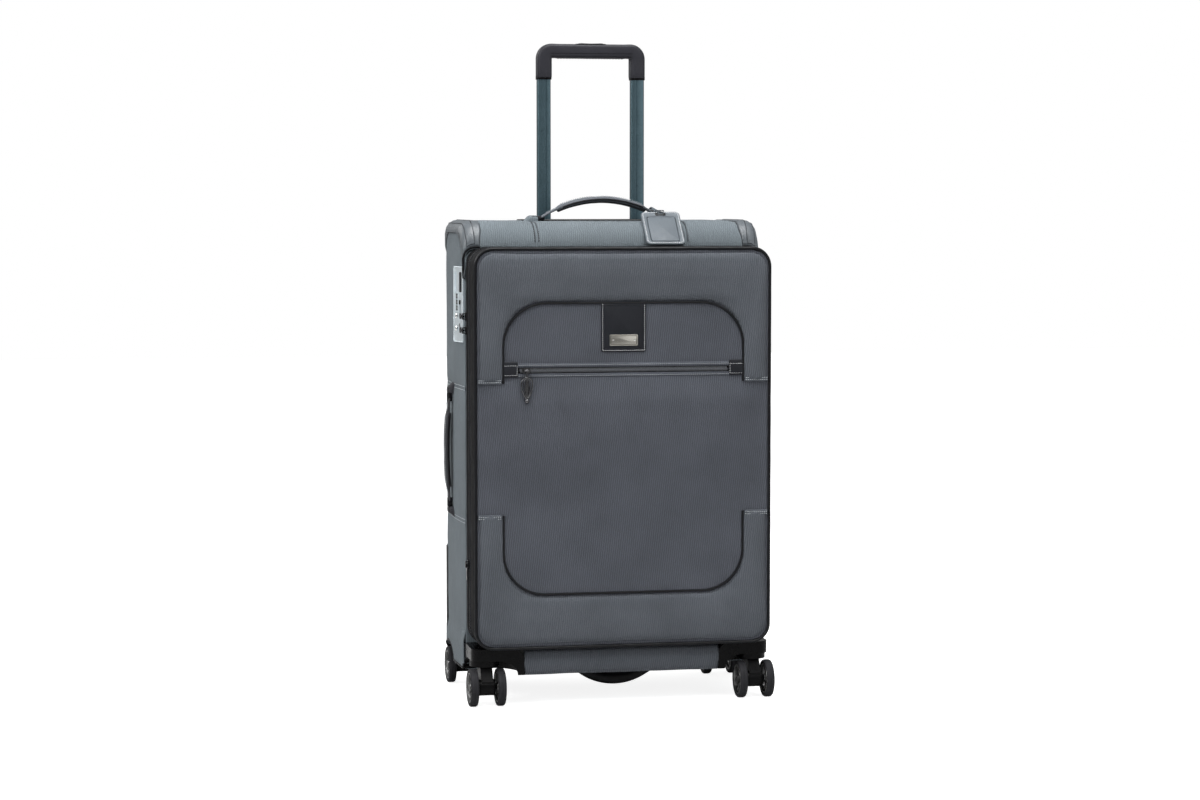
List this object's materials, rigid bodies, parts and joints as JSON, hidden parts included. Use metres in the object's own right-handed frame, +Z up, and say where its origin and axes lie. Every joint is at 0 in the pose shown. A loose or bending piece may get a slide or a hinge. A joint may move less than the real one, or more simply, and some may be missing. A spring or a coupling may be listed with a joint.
{
  "type": "softside upright suitcase",
  "caption": "Softside upright suitcase with a hinged zipped lid, expansion gusset, front pocket, telescopic handle, top and side grab handles and twin-wheel swivel casters.",
  "frame": {"origin": "on the floor, midway between the four caster pivots", "axes": "+Z up, -Y is the front (the lid), +X is the right-hand side seen from the front"},
  "size_m": [0.4535, 0.2776, 0.9525],
  "materials": {
    "body_fabric": "fine twill weave",
    "lining": "thin woven lining",
    "board": "plain",
    "guard": "embossed, stitched",
    "kick": "fine grained",
    "housing": "gloss",
    "steel": "brushed",
    "black_web": "woven webbing",
    "tube_steel": "mill",
    "tube": "anodised, satin",
    "black_plastic": "satin",
    "lock_metal": "satin",
    "zip": "woven tape",
    "chrome": "bright",
    "handle_pad": "padded strap",
    "tag": "grained, stitched",
    "patch": "grained, stitched",
    "badge": "brushed",
    "mesh_lining": "thin woven lining",
    "piping": "satin cord",
    "fork": "satin",
    "wheel": "tyre on a silver spoked rim",
    "dial": "satin",
    "brass": "plain"
  },
  "bodies": {
    "case": {"shell_fabric": "body_fabric", "lining": "lining", "stiffener_boards": "board", "corner_guards": "guard", "kick_plate": "kick", "caster_housings": "housing", "housing_fasteners": "steel", "bottom_handle": "black_web", "outer_tubes": "tube_steel", "tube_cup": "black_plastic", "lock_plate": "lock_metal", "main_zip_tape": "zip", "packing_straps": "black_web", "handle_mounts": "black_plastic"},
    "lid_rim": {"rim_band": "zip", "expansion_gusset": "zip"},
    "lid_front": {"front_panel": "body_fabric", "lid_side_wall": "zip", "lid_piping": "piping", "lid_lining": "mesh_lining", "pocket_zip_tape": "zip", "pocket_tabs": "patch", "badge_patch": "patch", "badge_plate": "badge"},
    "handle": {"inner_tubes": "tube", "grip": "black_plastic"},
    "button": {"release_button": "black_plastic", "push_rods": "steel"},
    "pin_l": {"latch_pin_l": "brass"},
    "pin_r": {"latch_pin_r": "brass"},
    "top_strap": {"carry_handle": "handle_pad", "tag_strap": "tag"},
    "tag": {"luggage_tag": "tag"},
    "side_strap": {"side_handle": "handle_pad"},
    "pocket_zip": {"pocket_slider": "chrome"},
    "pocket_pull": {"pocket_puller": "chrome"},
    "zip_a": {"upper_slider": "chrome"},
    "zip_a_pull": {"upper_puller": "chrome"},
    "zip_b": {"lower_slider": "chrome"},
    "zip_b_pull": {"lower_puller": "chrome"},
    "zip_c": {"expansion_slider": "chrome"},
    "zip_c_pull": {"expansion_puller": "chrome"},
    "dial_a": {"dial_1": "dial"},
    "dial_b": {"dial_2": "dial"},
    "dial_c": {"dial_3": "dial"},
    "lock_button": {"lock_slider": "dial"},
    "key": {"key_cylinder": "steel"},
    "caster_fl": {"fork_fl": "fork"},
    "caster_fr": {"fork_fr": "fork"},
    "caster_rl": {"fork_rl": "fork"},
    "caster_rr": {"fork_rr": "fork"},
    "wheel_fl_out": {"wheel_fl_out": "wheel"},
    "wheel_fl_in": {"wheel_fl_in": "wheel"},
    "wheel_fr_out": {"wheel_fr_out": "wheel"},
    "wheel_fr_in": {"wheel_fr_in": "wheel"},
    "wheel_rl_out": {"wheel_rl_out": "wheel"},
    "wheel_rl_in": {"wheel_rl_in": "wheel"},
    "wheel_rr_out": {"wheel_rr_out": "wheel"},
    "wheel_rr_in": {"wheel_rr_in": "wheel"}
  },
  "joints": [
    {"name": "lid_hinge", "type": "hinge", "parent": "case", "child": "lid_rim", "pos_m": [0.215, -0.047, 0.366], "axis": [0, 0, 1], "range_deg": [0, 160]},
    {"name": "handle_slide", "type": "slide", "parent": "case", "child": "handle", "axis": [0, 0, 1], "range_m": [-0.262, 0.09]},
    {"name": "expansion_slide", "type": "slide", "parent": "lid_rim", "child": "lid_front", "axis": [0, -1, 0], "range_m": [0, 0.04]},
    {"name": "carry_handle_swing", "type": "hinge", "parent": "case", "child": "top_strap", "pos_m": [0, 0.04, 0.692], "axis": [-1, 0, 0], "range_deg": [0, 25]},
    {"name": "tag_swing", "type": "hinge", "parent": "top_strap", "child": "tag", "pos_m": [0.077, -0.01229, 0.69821], "axis": [-1, 0, 0], "range_deg": [0, 70]},
    {"name": "side_handle_swing", "type": "hinge", "parent": "case", "child": "side_strap", "pos_m": [-0.2232, 0.05, 0.354], "axis": [0, 0, 1], "range_deg": [-12, 12]},
    {"name": "pocket_zip_slide", "type": "slide", "parent": "lid_front", "child": "pocket_zip", "axis": [1, 0, 0], "range_m": [0, 0.28]},
    {"name": "pocket_pull_swing", "type": "hinge", "parent": "pocket_zip", "child": "pocket_pull", "pos_m": [-0.141, -0.1312, 0.479], "axis": [-1, 0, 0], "range_deg": [0, 80]},
    {"name": "upper_zip_slide", "type": "slide", "parent": "case", "child": "zip_a", "axis": [0, 0, 1], "range_m": [0, 0.07]},
    {"name": "upper_pull_swing", "type": "hinge", "parent": "zip_a", "child": "zip_a_pull", "pos_m": [-0.2193, -0.047, 0.553], "axis": [0, 0, 1], "range_deg": [0, 140]},
    {"name": "lower_zip_slide", "type": "slide", "parent": "case", "child": "zip_b", "axis": [0, 0, 1], "range_m": [-0.33, 0]},
    {"name": "lower_pull_swing", "type": "hinge", "parent": "zip_b", "child": "zip_b_pull", "pos_m": [-0.2193, -0.047, 0.533], "axis": [0, 0, 1], "range_deg": [0, 140]},
    {"name": "expansion_zip_slide", "type": "slide", "parent": "lid_rim", "child": "zip_c", "axis": [0, 0, 1], "range_m": [-0.057, 0.4]},
    {"name": "expansion_pull_swing", "type": "hinge", "parent": "zip_c", "child": "zip_c_pull", "pos_m": [-0.21745, -0.068, 0.2004], "axis": [0, 1, 0], "range_deg": [0, 75]},
    {"name": "swivel_fl", "type": "hinge", "parent": "case", "child": "caster_fl", "pos_m": [-0.196, -0.088, 0.06], "axis": [0, 0, 1], "continuous": true},
    {"name": "swivel_fr", "type": "hinge", "parent": "case", "child": "caster_fr", "pos_m": [0.196, -0.088, 0.06], "axis": [0, 0, 1], "continuous": true},
    {"name": "swivel_rl", "type": "hinge", "parent": "case", "child": "caster_rl", "pos_m": [-0.196, 0.088, 0.06], "axis": [0, 0, 1], "continuous": true},
    {"name": "swivel_rr", "type": "hinge", "parent": "case", "child": "caster_rr", "pos_m": [0.196, 0.088, 0.06], "axis": [0, 0, 1], "continuous": true},
    {"name": "roll_fl_out", "type": "hinge", "parent": "caster_fl", "child": "wheel_fl_out", "pos_m": [-0.2157, -0.107, 0.027], "axis": [1, 0, 0], "continuous": true},
    {"name": "roll_fl_in", "type": "hinge", "parent": "caster_fl", "child": "wheel_fl_in", "pos_m": [-0.1763, -0.107, 0.027], "axis": [1, 0, 0], "continuous": true},
    {"name": "roll_fr_out", "type": "hinge", "parent": "caster_fr", "child": "wheel_fr_out", "pos_m": [0.2157, -0.107, 0.027], "axis": [1, 0, 0], "continuous": true},
    {"name": "roll_fr_in", "type": "hinge", "parent": "caster_fr", "child": "wheel_fr_in", "pos_m": [0.1763, -0.107, 0.027], "axis": [1, 0, 0], "continuous": true},
    {"name": "roll_rl_out", "type": "hinge", "parent": "caster_rl", "child": "wheel_rl_out", "pos_m": [-0.2157, 0.107, 0.027], "axis": [1, 0, 0], "continuous": true},
    {"name": "roll_rl_in", "type": "hinge", "parent": "caster_rl", "child": "wheel_rl_in", "pos_m": [-0.1763, 0.107, 0.027], "axis": [1, 0, 0], "continuous": true},
    {"name": "roll_rr_out", "type": "hinge", "parent": "caster_rr", "child": "wheel_rr_out", "pos_m": [0.2157, 0.107, 0.027], "axis": [1, 0, 0], "continuous": true},
    {"name": "roll_rr_in", "type": "hinge", "parent": "caster_rr", "child": "wheel_rr_in", "pos_m": [0.1763, 0.107, 0.027], "axis": [1, 0, 0], "continuous": true},
    {"name": "button_press", "type": "slide", "parent": "handle", "child": "button", "axis": [0, 0, -1], "range_m": [0, 0.0035]},
    {"name": "latch_left", "type": "slide", "parent": "handle", "child": "pin_l", "axis": [1, 0, 0], "range_m": [0, 0.003]},
    {"name": "latch_right", "type": "slide", "parent": "handle", "child": "pin_r", "axis": [-1, 0, 0], "range_m": [0, 0.003]},
    {"name": "dial_turn_a", "type": "hinge", "parent": "case", "child": "dial_a", "pos_m": [-0.21869, -0.01005, 0.581], "axis": [0, 0, 1], "continuous": true},
    {"name": "dial_turn_b", "type": "hinge", "parent": "case", "child": "dial_b", "pos_m": [-0.21869, -0.01005, 0.5725], "axis": [0, 0, 1], "continuous": true},
    {"name": "dial_turn_c", "type": "hinge", "parent": "case", "child": "dial_c", "pos_m": [-0.21869, -0.01005, 0.564], "axis": [0, 0, 1], "continuous": true},
    {"name": "lock_button_slide", "type": "slide", "parent": "case", "child": "lock_button", "axis": [0, 0, -1], "range_m": [0, 0.016]},
    {"name": "key_turn", "type": "hinge", "parent": "case", "child": "key", "pos_m": [-0.21747, -0.02273, 0.5395], "axis": [0.9848, 0.1736, 0], "range_deg": [0, 90]}
  ],
  "couplings": [
    {"joint": "latch_left", "follows": "button_press", "ratio": 0.857},
    {"joint": "latch_right", "follows": "button_press", "ratio": 0.857}
  ]
}
